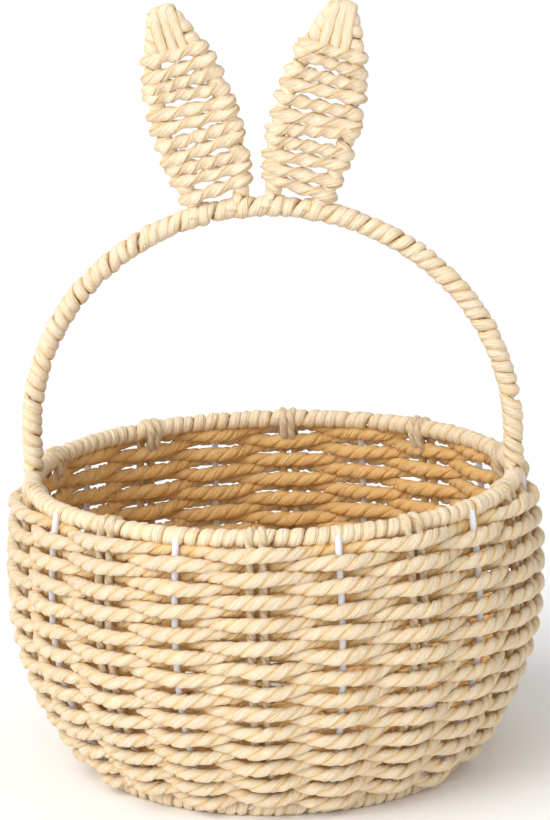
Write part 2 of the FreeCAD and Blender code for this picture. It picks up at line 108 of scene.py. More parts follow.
def aim_camera():
    """A camera that looks at the middle of the basket from the front."""
    camera = bpy.data.objects.new("camera", bpy.data.cameras.new("camera"))
    bpy.context.scene.collection.objects.link(camera)
    camera.data.lens = LENS
    camera.data.clip_end = 20
    right = Vector((math.cos(CAMERA_AZIMUTH), math.sin(CAMERA_AZIMUTH), 0))
    ahead = Vector((-math.sin(CAMERA_AZIMUTH), math.cos(CAMERA_AZIMUTH), 0))
    back = -ahead * math.cos(CAMERA_HEIGHT) + Vector((0, 0, math.sin(CAMERA_HEIGHT)))
    up = back.cross(right)
    place = right * TARGET.x + Vector((0, 0, TARGET.z)) + back * CAMERA_REACH
    turn = Matrix((right, up, back)).transposed().to_4x4()
    roll = Matrix.Rotation(CAMERA_ROLL, 4, "Z")
    camera.matrix_world = Matrix.Translation(place) @ turn @ roll
    bpy.context.scene.camera = camera


aim_camera()

# %% Colours and the node helper
def linear(code):
    """A colour's sRGB hex code as the linear RGBA that shaders take."""
    parts = [int(code[i:i + 2], 16) / 255 for i in (1, 3, 5)]
    parts = [c / 12.92 if c <= 0.04045 else ((c + 0.055) / 1.055) ** 2.4 for c in parts]
    return (*parts, 1.0)


def add(tree, kind, settings=None, **links):
    """One shader node: settings are its own properties, links are its inputs by name."""
    made = tree.nodes.new(kind)
    for name, value in (settings or {}).items():
        setattr(made, name, value)
    for name, value in links.items():
        socket = made.inputs[int(name[1:])] if name[0] == "i" and name[1:].isdigit() \
            else made.inputs[name.replace("_", " ")]
        if isinstance(value, bpy.types.NodeSocket):
            tree.links.new(value, socket)
        else:
            socket.default_value = value
    return made


def new_material(name):
    """An empty material with its output and its main shader."""
    material = bpy.data.materials.new(name)
    material.use_nodes = True
    material.node_tree.nodes.clear()
    tree = material.node_tree
    shader = add(tree, "ShaderNodeBsdfPrincipled")
    add(tree, "ShaderNodeOutputMaterial", Surface=shader.outputs[0])
    return material, tree, shader


# %% Set the floor and the lights
FLOOR_HALF = 3
SURROUND = 0.59
KEY_FROM, KEY_ENERGY, KEY_SPREAD = Vector((-0.75, -0.65, 0.95)), 1.42, 50
FILL_FROM, FILL_ENERGY, FILL_SPREAD = Vector((-0.35, -1.0, 0.5)), 1.18, 60


def set_stage():
    """A white floor and a surround that is white to the camera and dimmer as a light."""
    bm = bmesh.new()
    bmesh.ops.create_grid(bm, x_segments=2, y_segments=2, size=FLOOR_HALF)
    mesh = bpy.data.meshes.new("studio_floor")
    bm.to_mesh(mesh)
    bm.free()
    floor = bpy.data.objects.new("studio_floor", mesh)
    bpy.context.scene.collection.objects.link(floor)
    material, tree, shader = new_material("matte_studio_floor")
    shader.inputs["Base Color"].default_value = linear("#FFFFFF")
    shader.inputs["Roughness"].default_value = 0.9
    mesh.materials.append(material)

    world = bpy.data.worlds.new("studio")
    world.use_nodes = True
    seen = add(world.node_tree, "ShaderNodeLightPath").outputs["Is Camera Ray"]
    bright = add(world.node_tree, "ShaderNodeMapRange", Value=seen, To_Min=SURROUND,
                 To_Max=1.0)
    surround = world.node_tree.nodes["Background"]
    surround.inputs["Color"].default_value = (1, 1, 1, 1)
    world.node_tree.links.new(bright.outputs[0], surround.inputs["Strength"])
    bpy.context.scene.world = world
    bpy.context.scene.view_settings.view_transform = "Standard"


def soft_lamp(name, came_from, energy, spread):
    """One large soft lamp, even over the whole floor. spread is how wide it looks."""
    lamp = bpy.data.lights.new(name, "SUN")
    lamp.energy = energy
    lamp.angle = math.radians(spread)
    holder = bpy.data.objects.new(name, lamp)
    bpy.context.scene.collection.objects.link(holder)
    holder.rotation_euler = (-came_from).to_track_quat("-Z", "Y").to_euler()


set_stage()
soft_lamp("key_light", KEY_FROM, KEY_ENERGY, KEY_SPREAD)
soft_lamp("fill_light", FILL_FROM, FILL_ENERGY, FILL_SPREAD)
print("lamps:", len(bpy.data.lights))

# %% [markdown]
# ## The wall's curve
# Every rib is bent to one line: over the base ring, out and up to the belly, and in again
# to the rim. It is two arcs that meet level at the belly. The rows, the stakes and the
# ribs all share it, so one small class answers where the wall is at any share of its
# length, and which way is out.

# %% Describe the wall
class Wall:
    """The wall's middle line as (r, z), for a wire or rope that lies seat off the rings."""

    def __init__(self, seat):
        drop = BELLY_Z - BASE_Z - seat
        self.low_r, self.reach = self.lower_arc(seat)
        self.low_angle = math.atan2(drop - FLOOR_BEND, self.reach)
        self.bend_r = BELLY_R - self.low_r + self.reach
        inset, rise = BELLY_R - RIM_R, RIM_Z - BELLY_Z
        self.up_r = (inset ** 2 + rise ** 2 - seat ** 2) / (2 * (inset - seat))
        self.up_angle = math.atan2(rise, self.up_r - inset)
        self.low_length = self.low_r * self.low_angle
        self.length = self.low_length + self.up_r * self.up_angle
        self.spoke_z = BASE_Z + seat

    @staticmethod
    def lower_arc(seat):
        """Radius of the lower arc, and how far out the floor bend's centre lies from it."""
        in_from_belly = BELLY_R - BASE_R
        fall = BELLY_Z - BASE_Z - WIRE - FLOOR_BEND
        wire_arc = (in_from_belly ** 2 + fall ** 2 - FLOOR_BEND ** 2)
        wire_arc /= 2 * (in_from_belly - FLOOR_BEND)
        whole = BELLY_Z - BASE_Z - WIRE
        foot_inset = wire_arc - math.sqrt(wire_arc ** 2 - whole ** 2)
        drop = BELLY_Z - BASE_Z - seat
        radius = (foot_inset ** 2 + drop ** 2) / (2 * foot_inset)
        return radius, math.sqrt((radius - FLOOR_BEND) ** 2 - (drop - FLOOR_BEND) ** 2)

    def at(self, share):
        """(r, z) and the outward (r, z) direction at a share of the length."""
        along = share * self.length - self.low_length
        radius = self.low_r if along < 0 else self.up_r
        angle = along / radius
        out = np.array((math.cos(angle), math.sin(angle)))
        return np.array((BELLY_R - radius, BELLY_Z)) + radius * out, out


SEAT_GAP = 0.15 * MM
STAKE_ROPE = 3.8 * MM
STAKE_SPACING = 5.6 * MM
rib_wall = Wall(WIRE)
stake_wall = Wall((WIRE + STAKE_ROPE) / 2 + SEAT_GAP)
print(f"wall {rib_wall.length / MM:.1f} mm from the floor bend to the rim")

# %% [markdown]
# ## Rope
# Paper rope is two plies twisted together, and each ply is a strip of paper crushed into a
# cord. A smooth tube with a picture of a rope on it never catches the light between the
# plies, so the plies are modelled. As in the rope works, each begins as a flat strip, here
# a grid. It is rolled up, dented all over, twisted round the other ply and laid along a
# route, as a weaver does. Each point remembers where on the ply it is, so that the paper's
# creases can run along the ply wherever it goes.

# %% Lay out a route
class Route:
    """A smooth line through points. At each, outward is a direction, and depth says how
    far, in mm, the line stands outside the surface that the ropes make together. The
    depth sets nothing but the painted shade of faces that lie back in that surface."""

    def __init__(self, points, outward, depth=0.0, closed=False):
        depth = np.broadcast_to(depth, len(points))[:, None]
        table = np.hstack((points, outward, depth))
        if closed:
            table = np.vstack((table, table[:1]))
        steps = np.linalg.norm(np.diff(table[:, :3], axis=0), axis=1)
        self.marks = np.concatenate(((0,), np.cumsum(steps)))
        self.length = self.marks[-1]
        self.closed = closed
        ahead = np.gradient(table[:, :3], self.marks, axis=0)
        if closed:
            ahead[0] = ahead[-1] = (ahead[0] + ahead[-1]) / 2
        self.table = np.hstack((table, ahead))

    def read(self, along):
        """Place, outward and sideways directions, and depth, at each distance along."""
        rows = [np.interp(along, self.marks, column) for column in self.table.T]
        place, out, ahead = (np.stack(rows[i:i + 3], 1) for i in (0, 3, 7))
        ahead = unit(ahead)
        out = unit(out - ahead * np.sum(out * ahead, axis=1, keepdims=True))
        return place, out, np.cross(ahead, out), rows[6]


def unit(vectors):
    return vectors / np.linalg.norm(vectors, axis=1, keepdims=True)


# %% Uneven hand work
LONGEST_DENT, SHORTEST_DENT = 0.030, 0.006
DENT_WAVES = 10


def wander(share, rng, waves, top):
    """A smooth uneven value about nought that joins up after share 1."""
    value = np.zeros_like(share)
    for _ in range(waves):
        count = rng.integers(1, max(2, top))
        value += np.sin(2 * math.pi * (count * share + rng.random())) / math.sqrt(waves)
    return value


def crumple(share, around, length, rng):
    """Dents of crushed paper, which slant along the ply and join up both ways."""
    value = np.zeros_like(share)
    for _ in range(DENT_WAVES):
        lobes = rng.integers(1, 5)
        dent = rng.uniform(SHORTEST_DENT, LONGEST_DENT)
        waves = round(length / dent) * rng.choice((-1, 1))
        value += np.sin(lobes * around + 2 * math.pi * (waves * share + rng.random()))
    return value / math.sqrt(DENT_WAVES)


def ease(low, high, value):
    """Nought up to low, one from high, and smooth between."""
    share = np.clip((value - low) / (high - low), 0, 1)
    return share * share * (3 - 2 * share)


# %% Roll, twist and lay a rope
LEFT_HAND = -1
DENT = 0.085
THICK_AND_THIN = 0.05
SWELL_LENGTH = 0.008
# Weights of the painted shade: in the hollows between plies or turns, and on faces that lie
# back in the wall.
HOLLOW_PAINTED_SHADE, HIDDEN_PAINTED_SHADE = 0.42, 0.9


def flat_strips(plies, sides, steps):
    """One flat strip for each ply, lying one above another."""
    bm = bmesh.new()
    for ply in range(plies):
        made = bmesh.ops.create_grid(bm, x_segments=steps, y_segments=sides, size=0.5)
        bmesh.ops.translate(bm, vec=(0.5, 0.5, ply), verts=made["verts"])
    return bm


def lay_rope(name, route, rng, plies=2, oval=(1.75, 2.4), off_axis=1.0, lay=17.0,
             sides=10, step=1.25, spread=None):
    """A rope along a route. oval is a ply's half size outwards and across, off_axis how
    far its middle is from the rope's, lay one full twist and step one ring of points,
    all in mm. spread(share) swells the rope outwards and sideways."""
    turns = max(1, round(route.length / (lay * MM))) if plies > 1 else 0
    steps = max(8, round(route.length / (step * MM)))
    bm = flat_strips(plies, sides, steps)
    mesh = bpy.data.meshes.new(name)
    bm.to_mesh(mesh)
    bm.free()
    spots = np.empty(len(mesh.vertices) * 3)
    mesh.vertices.foreach_get("co", spots)
    share, around, ply = spots.reshape(-1, 3).T
    around = around * 2 * math.pi

    girth = 1 + DENT * crumple(share, around + ply, route.length, rng)
    girth += THICK_AND_THIN * wander(share + ply / 2, rng, 8,
                                     round(route.length / SWELL_LENGTH))
    out = oval[0] * np.cos(around) * girth + off_axis * (plies > 1)
    across = oval[1] * np.sin(around) * girth
    twist = LEFT_HAND * 2 * math.pi * turns * share + 2 * math.pi * ply / plies
    y = out * np.cos(twist) - across * np.sin(twist)
    z = out * np.sin(twist) + across * np.cos(twist)
    if spread is not None:
        y, z = y * spread(share)[0], z * spread(share)[1]
    place, outward, sideways, depth = route.read(share * route.length)
    laid = place + (outward * y[:, None] + sideways * z[:, None]) * MM
    mesh.vertices.foreach_set("co", laid.ravel())

    # Painted shade: the colour is made deeper in the hollows where plies or turns touch,
    # and on faces turned back into the wall or towards the inside of the bowl, where less
    # light reaches.
    hollow_painted_shade = ease(0.35, -0.5, np.cos(around)) if plies > 1 \
        else ease(0.72, 1.0, np.abs(np.sin(around)))
    hidden_painted_shade = ease(2.6, -3.2, depth + y)
    along = (np.abs(share - 0.5) if route.closed else share) * route.length / MM
    spot_on_ply = np.stack((along + 500 * (rng.random() + ply), np.cos(around),
                            np.sin(around)), 1)
    keep_attribute(mesh, "ply_place", "FLOAT_VECTOR", "vector", spot_on_ply)
    keep_attribute(mesh, "painted_shade", "FLOAT", "value",
                   HOLLOW_PAINTED_SHADE * hollow_painted_shade + HIDDEN_PAINTED_SHADE * hidden_painted_shade)
    return close_rope(name, mesh, sides)


def keep_attribute(mesh, name, kind, field, values):
    layer = mesh.attributes.new(name, kind, "POINT")
    layer.data.foreach_set(field, values.astype(np.float32).ravel())


def close_rope(name, mesh, sides):
    """Joins the strip's edges, fills open ends and turns the faces outwards."""
    bm = bmesh.new()
    bm.from_mesh(mesh)
    seam = [vert for vert in bm.verts if vert.is_boundary]
    bmesh.ops.remove_doubles(bm, verts=seam, dist=0.02 * MM)
    ends = [edge for edge in bm.edges if edge.is_boundary]
    bmesh.ops.holes_fill(bm, edges=ends, sides=sides)
    bmesh.ops.recalc_face_normals(bm, faces=bm.faces)
    for face in bm.faces:
        face.smooth = True
    bm.to_mesh(mesh)
    bm.free()
    piece = bpy.data.objects.new(name, mesh)
    bpy.context.scene.collection.objects.link(piece)
    return piece


# %% [markdown]
# ## Paper and coated wire
# The rope is kraft paper, bleached pale cream: quite matt, with fine creases along each
# ply where the strip was crushed. Its colour is painted deeper and warmer in the creases'
# valleys, in the hollows between plies and on faces that lie back in the wall: painted
# shade and bounced light. The wire is steel with a white powder coat, slightly glossy,
# with a faint orange peel.

# %% Paper rope
# Pale is the paper's own colour. Gold is both its deeper random tone and mild painted
# shade, and the deepest colour is painted shade.
PAPER_PALE = "#FBE7CA"
PAPER_GOLD_TONE_AND_SHADE = "#FCDBA2"
PAPER_PAINTED_SHADE = "#FFD089"
CREASE = 0.9
CREASE_LENGTH = 12


def paper_rope_material(name, depth):
    """Crushed kraft paper, with creases along the ply that are depth mm deep. The colour
    holds painted shade: deeper in the creases' valleys, in hollows and on faces back in the
    wall.
    """
    material, tree, shader = new_material(name)
    place = add(tree, "ShaderNodeAttribute", {"attribute_name": "ply_place"})
    painted_shade = add(tree, "ShaderNodeAttribute", {"attribute_name": "painted_shade"})
    drawn_out = add(tree, "ShaderNodeMapping", Vector=place.outputs["Vector"])
    drawn_out.inputs["Scale"].default_value = (CREASE / CREASE_LENGTH / 2, 1, 1)
    creases = add(tree, "ShaderNodeTexNoise", Vector=drawn_out.outputs[0],
                  Scale=2 / CREASE, Detail=4.0, Roughness=0.6)
    patches = add(tree, "ShaderNodeTexNoise", Vector=drawn_out.outputs[0], Scale=0.7)

    # The painted shade from the attribute is added on top of the paper's random patches of
    # tone.
    uneven = add(tree, "ShaderNodeMath", {"operation": "MULTIPLY_ADD"},
                 i0=patches.outputs[0], i1=0.35, i2=painted_shade.outputs["Fac"])
    # The creases' valleys are given a deeper colour: painted shade, mixed with the random
    # tone.
    tone_and_painted_shade = add(tree, "ShaderNodeMath", {"operation": "MULTIPLY_ADD"},
              i0=creases.outputs[0], i1=-1.2, i2=uneven.outputs[0])
    level = add(tree, "ShaderNodeMapRange", Value=tone_and_painted_shade.outputs[0], From_Min=-0.5,
                From_Max=0.6)
    paper = add(tree, "ShaderNodeValToRGB", Fac=level.outputs[0])
    ramp = paper.color_ramp
    ramp.elements[0].color = linear(PAPER_PALE)
    ramp.elements[1].color = linear(PAPER_PAINTED_SHADE)
    ramp.elements.new(0.5).color = linear(PAPER_GOLD_TONE_AND_SHADE)
    tree.links.new(paper.outputs[0], shader.inputs["Base Color"])
    bump = add(tree, "ShaderNodeBump", Height=creases.outputs[0], Distance=depth * MM)
    tree.links.new(bump.outputs[0], shader.inputs["Normal"])
    shader.inputs["Roughness"].default_value = 0.8
    shader.inputs["Specular IOR Level"].default_value = 0.2
    return material


woven_paper = paper_rope_material("twisted_paper_rope", depth=1.8)
wound_paper = paper_rope_material("wound_paper_rope", depth=2.0)


# %% White powder coat
def powder_coat_material():
    """White powder coat on steel: a soft sheen over a fine orange peel."""
    material, tree, shader = new_material("white_powder_coat")
    place = add(tree, "ShaderNodeTexCoord").outputs["Object"]
    peel = add(tree, "ShaderNodeTexNoise", Vector=place, Scale=1600.0, Detail=2.0)
    bump = add(tree, "ShaderNodeBump", Height=peel.outputs[0], Distance=0.04 * MM)
    tree.links.new(bump.outputs[0], shader.inputs["Normal"])
    tint = add(tree, "ShaderNodeMix", {"data_type": "RGBA"}, i0=peel.outputs[0],
               i6=linear("#E2E4EE"), i7=linear("#ECEEF5"))
    tree.links.new(tint.outputs[2], shader.inputs["Base Color"])
    shader.inputs["Roughness"].default_value = 0.38
    return material


powder_coat = powder_coat_material()
WIRES = [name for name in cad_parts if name.endswith("_ring") or "_hoop" in name
         or name.startswith("rib_")]
for name in WIRES:
    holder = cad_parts[name]
    holder.data.materials.clear()
    holder.data.materials.append(powder_coat)
print("coated wires:", len(WIRES))


# %% Hand a rope over to the frame
def settle(piece, material, finish, *nodes):
    """Gives a finished rope its material, hides the CAD nodes that it stands for, and hangs
    it on the body that it rides on.
    """
    piece.data.materials.append(material)
    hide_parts(*nodes)
    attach(piece, "root")
    return piece


# %% [markdown]
# ## The woven wall
# A weaving rope goes behind one upright and in front of the next, and the row above does
# the reverse. The uprights are the bare ribs and, half-way between them, the doubled rope
# stakes. A row is a ring here: its radius swings in and out between the uprights. Where
# two rows cross half-way they press on each other and are thinner, and over an upright
# they are free to swell, so the rope's section changes along the row.

# %% Weave the rows
CAD_ROPE = span("weave_row_18").z
PITCH = CAD_ROPE + 0.3 * MM
FIRST_ROW_LIFT = 0.6 * MM
PER_HALF_WAVE = 24
ROW_WOBBLE_UP, ROW_WOBBLE_OUT = 0.4 * MM, 0.25 * MM
PRESSED = 1.03


def row_places(number):
    """The row's turning points at each upright: angle, (r, z), outward and swing."""
    share = (FIRST_ROW_LIFT + PITCH * (number - 1)) / rib_wall.length
    over_ribs = 1 if (ROWS - number) % 2 else -1
    rib_swing = over_ribs * PRESSED * (WIRE + CAD_ROPE) / 2
    stake_swing = -over_ribs * PRESSED * (STAKE_ROPE + CAD_ROPE) / 2
    places = []
    for index in range(2 * RIBS):
        wall, swing = (rib_wall, rib_swing) if index % 2 else (stake_wall, stake_swing)
        spot, out = wall.at(share)
        places.append((FRONT + math.pi * index / RIBS, spot + out * swing, out, swing))
    return places


def row_route(number, rng):
    """The row as a closed route that swings smoothly from upright to upright."""
    places = row_places(number)
    points, outward, depth = [], [], []
    for index, (angle, spot, out, swing) in enumerate(places):
        _, next_spot, next_out, next_swing = places[(index + 1) % len(places)]
        for step in range(PER_HALF_WAVE):
            share = step / PER_HALF_WAVE
            climb = 0.5 - 0.5 * math.cos(math.pi * share)
            turn = angle + math.pi / RIBS * share
            r, z = spot + (next_spot - spot) * climb
            n_r, n_z = out + (next_out - out) * share
            points.append((r * math.cos(turn), r * math.sin(turn), z))
            outward.append((n_r * math.cos(turn), n_r * math.sin(turn), n_z))
            depth.append((swing + (next_swing - swing) * climb) / MM)
    points, outward = np.array(points), np.array(outward)
    round_share = np.linspace(0, 1, len(points), endpoint=False)
    points[:, 2] += ROW_WOBBLE_UP * wander(round_share, rng, 6, 30)
    points += outward * ROW_WOBBLE_OUT * wander(round_share, rng, 6, 40)[:, None]
    return Route(points, outward, depth, closed=True)


def row_spread(share):
    """Thin where rows cross between uprights, and swollen over the uprights."""
    swing = np.cos(2 * math.pi * RIBS * share * 2)
    return 1.02 - 0.04 * swing, 1.13 + 0.13 * swing


for number in range(1, ROWS + 1):
    rng = np.random.default_rng(100 + number)
    name = f"woven_row_{number:02d}"
    row = lay_rope(name, row_route(number, rng), rng, lay=rng.uniform(15, 19),
                   spread=row_spread)
    settle(row, woven_paper, "weave_rope", f"weave_row_{number:02d}")
print("rows woven:", ROWS, "triangles in the last:", 2 * len(row.data.polygons))

# %% [markdown]
# ## The woven floor
# The ribs run on under the bowl to a small hub ring, and the same rope is woven over and
# under them, round by round.

# %% Weave the floor
FLOOR_INNER = HUB_R + (WIRE + CAD_ROPE) / 2 + SEAT_GAP
BASE_WRAP = 8.0 * MM
FLOOR_OUTER = BASE_R - (BASE_WRAP + CAD_ROPE) / 2 - SEAT_GAP


def floor_route(radius, number):
    """One round of the floor, over and under the spokes."""
    swing = (WIRE + CAD_ROPE) / 2 + SEAT_GAP
    turns = np.linspace(0, 2 * math.pi, RIBS * PER_HALF_WAVE, endpoint=False)
    rise = np.cos(RIBS * turns / 2 + math.pi * number) * swing
    angle = FRONT + turns + math.pi / RIBS
    points = np.stack((radius * np.cos(angle), radius * np.sin(angle), SPOKE_Z + rise), 1)
    downward = np.tile((0.0, 0.0, -1.0), (len(points), 1))
    return Route(points, downward, -rise / MM, closed=True)


def weave_floor():
    rng = np.random.default_rng(7)
    rounds = int((FLOOR_OUTER - FLOOR_INNER) / PITCH) + 1
    gap = (FLOOR_OUTER - FLOOR_INNER) / (rounds - 1)
    pieces = []
    for number in range(rounds):
        route = floor_route(FLOOR_INNER + number * gap, number)
        pieces.append(lay_rope(f"floor_round_{number:02d}", route, rng, oval=(1.6, 2.2),
                               sides=8, step=1.6))
    return joined("woven_floor", pieces)


def joined(name, pieces):
    """Several ropes as one piece."""
    with bpy.context.temp_override(active_object=pieces[0], object=pieces[0],
                                   selected_objects=pieces,
                                   selected_editable_objects=pieces):
        bpy.ops.object.join()
    pieces[0].name = name
    return pieces[0]


woven_floor = settle(weave_floor(), woven_paper, "weave_rope", "base_weave")

# %% [markdown]
# ## The rope stakes
# Each stake is one rope, doubled over the rim ring like a hairpin: up the wall, over the
# ring, a short loop on the inside, and back the same way beside itself.

# %% Fold the stakes over the rim
TAIL_SPACING = 3.4 * MM
TAIL_DROP = 10 * MM


def arc(centre, radius, first, last, count):
    """Points of an arc in an upright plane."""
    angles = np.linspace(first, last, count)
    return np.stack((centre[0] + radius * np.cos(angles),
                     centre[1] + radius * np.sin(angles)), 1)


def stake_leg():
    """One leg, tucked foot first: (r, z), then outward (r, z), depth and distance aside."""
    wall = stake_wall
    seat = wall.spoke_z - BASE_Z
    half, tail_half = STAKE_SPACING / 2, TAIL_SPACING / 2
    low_centre, up_centre = (BELLY_R - wall.low_r, BELLY_Z), (BELLY_R - wall.up_r, BELLY_Z)
    floor_centre = (wall.bend_r, wall.spoke_z + FLOOR_BEND)
    rows = [((BASE_R - BASE_WRAP / 2, wall.spoke_z, 0, -1, 0, half),)]
    # The last column is depth, which sets only the painted shade: some on the wall, almost
    # none over the rim.
    for centre, radius, first, last, count, depth in (
            (floor_centre, FLOOR_BEND, -math.pi / 2, -wall.low_angle, 6, 1),
            (low_centre, wall.low_r, -wall.low_angle, 0, 40, 1),
            (up_centre, wall.up_r, 0, wall.up_angle, 24, 1),
            ((RIM_R, RIM_Z), seat, wall.up_angle, math.pi, 14, 4)):
        line = arc(centre, radius, first, last, count)
        aside = np.linspace(half, tail_half, count) if radius == seat \
            else np.full(count, half)
        out = (line - centre) / radius
        level = np.full(count, depth)
        rows.append(np.column_stack((line, out, level, aside))[radius != FLOOR_BEND:])
    drop = np.linspace(0, 1, 6)[1:]
    tuck = seat * drop ** 2
    rows.append(np.column_stack((RIM_R - seat + tuck, RIM_Z - TAIL_DROP * drop,
                                 -np.ones(5), np.zeros(5), 4 - 3 * drop,
                                 np.full(5, tail_half))))
    return np.vstack(rows)


def stake_route(angle):
    """Both legs of the hairpin and the small bend between their tails."""
    leg = stake_leg()
    bend = np.repeat(leg[-1:], 7, axis=0)
    swing = np.linspace(0, math.pi, 9)[1:-1]
    bend[:, 1] -= TAIL_SPACING / 2 * np.sin(swing)
    bend[:, 5] *= np.cos(swing)
    other = leg[::-1] * (1, 1, 1, 1, 1, -1)
    r, z, out_r, out_z, depth, aside = np.vstack((leg, bend, other)).T
    turn = np.array(Matrix.Rotation(angle, 3, "Z"))
    points = np.stack((r, aside, z), 1) @ turn.T
    outward = np.stack((out_r, np.zeros(len(r)), out_z), 1) @ turn.T
    return Route(points, outward, depth)


for number in range(RIBS):
    rng = np.random.default_rng(300 + number)
    angle = FRONT + 2 * math.pi * number / RIBS
    stake = lay_rope(f"rope_stake_{number + 1:02d}", stake_route(angle), rng,
                     oval=(1.15, 1.7), off_axis=0.75, lay=14, sides=8, step=1.3)
    settle(stake, woven_paper, "stake_rope", f"stake_{number + 1:02d}")
print("stakes folded:", RIBS)


# %% [markdown]
# ## Rope wound round the wires
# The rim, the base ring, the handle and the ears' edges are wound with rope, turn beside
# turn. Pulled tight round a thin wire, the rope spreads until it is about twice as wide
# as it is thick, and each turn is a plump bead, leaning a little. A winding is a helix
# about the wire's own route, with turns that a hand has set not quite evenly.

# %% Wind a wire
BEAD_RISE = 1.6
UNEVEN_TURNS = 0.18
BEAD_OVERLAP = 1.14
RIM_OUTER, RIM_PITCH = 4.2, 5.3
BASE_OUTER, BASE_PITCH = 3.8, 5.0


def helix(core, turns, radius, rng, closed=False, uneven=UNEVEN_TURNS, start=0.0):
    """A left-handed helix round a route, with slightly uneven turns."""
    count = round(turns * 20)
    share = np.linspace(0, 1, count, endpoint=not closed)
    slip = uneven / turns * wander(share, rng, 6, round(turns))
    if not closed:
        slip *= np.clip(np.minimum(share, 1 - share) * turns, 0, 1)
    spot = share + slip
    spot = spot % 1.0 if closed else np.clip(spot, 0, 1)
    place, out, side, depth = core.read(spot * core.length)
    turn = LEFT_HAND * 2 * math.pi * turns * share + start
    lean = out * np.cos(turn)[:, None] + side * np.sin(turn)[:, None]
    swell = 1 + 0.06 * wander(share, rng, 6, round(turns / 1.5))
    # Depth is larger on the outward side of each turn and smaller on its inward side; it
    # sets only the painted shade.
    return Route(place + lean * (radius * swell)[:, None], lean,
                 depth + 2 * np.cos(turn), closed)


def wind(name, core, outer, pitch, rng, closed=False, ropes=1):
    """Ropes wound side by side over a wire, outer mm in radius and pitch mm apart."""
    turns = round(core.length / (pitch * ropes * MM))
    radius = outer - BEAD_RISE
    lean = math.atan(pitch * ropes / (2 * math.pi * radius))
    half_width = pitch / 2 * math.cos(lean) * BEAD_OVERLAP
    pieces = []
    for index in range(ropes):
        route = helix(core, turns, radius * MM, rng, closed, UNEVEN_TURNS / ropes,
                      2 * math.pi * index / ropes)
        pieces.append(lay_rope(name, route, rng, plies=1, oval=(BEAD_RISE, half_width),
                               sides=10, step=1.1))
    return joined(name, pieces)


def ring_route(radius, height, count=400):
    """A level ring, with outward away from its own middle."""
    angle = FRONT + np.linspace(0, 2 * math.pi, count, endpoint=False)
    out = np.stack((np.cos(angle), np.sin(angle), np.zeros(count)), 1)
    return Route(out * radius + np.array((0, 0, height)), out, 3.0, closed=True)


rim_winding = wind("rim_winding", ring_route(RIM_R, RIM_Z), RIM_OUTER, RIM_PITCH,
                   np.random.default_rng(11), closed=True)
settle(rim_winding, wound_paper, "wrap_rope", "rim_wrap")
base_winding = wind("base_winding", ring_route(BASE_R, BASE_Z), BASE_OUTER, BASE_PITCH,
                    np.random.default_rng(12), closed=True)
settle(base_winding, wound_paper, "wrap_rope", "base_wrap")

# %% [markdown]
# ## The handle
# The handle is a hoop of three arcs on two short straight feet, wound from rim to rim with
# two ropes side by side, so that each leans more than a single rope would.

# %% Wind the handle
HANDLE_LEG = 19.8 * MM
HANDLE_SIDE_R = 98 * MM
HANDLE_OUTER, HANDLE_PITCH = 4.75, 5.2
HANDLE_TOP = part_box("handle_hoop")[1].z - WIRE / 2
SPRING_Z = RIM_Z + HANDLE_LEG
side_in = RIM_R - HANDLE_SIDE_R
rise = HANDLE_TOP - SPRING_Z
CROWN_R = (side_in ** 2 + rise ** 2 - HANDLE_SIDE_R ** 2) / (2 * (rise - HANDLE_SIDE_R))
CROWN_Z = HANDLE_TOP - CROWN_R


def upright_route(line, depth=3.0):
    """A route in the handle's plane, with outward to the front."""
    points = np.stack((line[:, 0], np.zeros(len(line)), line[:, 1]), 1)
    return Route(points, np.tile((0.0, -1.0, 0.0), (len(points), 1)), depth)


def handle_line():
    """The handle's middle line as (x, z), from the rim on one side to the other."""
    turn = math.atan2(SPRING_Z - CROWN_Z, side_in)
    leg = np.linspace(RIM_Z + 3 * MM, SPRING_Z, 8)[:-1]
    left_leg = np.stack((np.full(7, -RIM_R), leg), 1)
    left = arc((-side_in, SPRING_Z), HANDLE_SIDE_R, math.pi, math.pi - turn, 40)
    crown = arc((0, CROWN_Z), CROWN_R, math.pi - turn, turn, 90)
    half = np.vstack((left_leg, left))
    return np.vstack((half, crown[1:-1], half[::-1] * (-1, 1)))


handle_winding = wind("handle_winding", upright_route(handle_line()), HANDLE_OUTER,
                      HANDLE_PITCH, np.random.default_rng(13), ropes=2)
settle(handle_winding, wound_paper, "wrap_rope", "handle_wrap")
print(f"handle top {HANDLE_TOP / MM:.1f} mm above the floor")

# %% [markdown]
# ## The ears
# An ear is a leaf-shaped hoop. Its edge is wound like the handle, and the same rope is
# laced across it in rungs, each of which grips the edge at both ends. Three strands over
# the wire close the tip, where a rung would slide off.

# %% Stand the ears on the handle
EAR_HALF = 15 * MM
EAR_BELLY = 38 * MM
EAR_LENGTH = 86 * MM
EAR_TIP_R = 4.5 * MM
EAR_TILT = math.radians(15)
EAR_SHIFT = -3.6 * MM
EAR_SPACING = 31.8 * MM
EAR_OUTER, EAR_PITCH = 3.9, 5.8
EAR_R = ((EAR_LENGTH - EAR_BELLY) ** 2 / (EAR_HALF - EAR_TIP_R) + EAR_TIP_R + EAR_HALF) / 2


def ear_place(side):
    """The matrix that stands an upright ear on the handle's crown, leaning outwards."""
    across = EAR_SHIFT + side * EAR_SPACING / 2
    up = CROWN_Z + math.sqrt(CROWN_R ** 2 - across ** 2)
    return Matrix.Translation((across, 0, up)) @ Matrix.Rotation(side * EAR_TILT, 4, "Y")


def ear_route(points, outward, side, depth=3.0):
    """A route drawn in the ear's own upright plane, stood on the handle."""
    matrix = np.array(ear_place(side))
    return Route(points @ matrix[:3, :3].T + matrix[:3, 3], outward @ matrix[:3, :3].T,
                 depth)


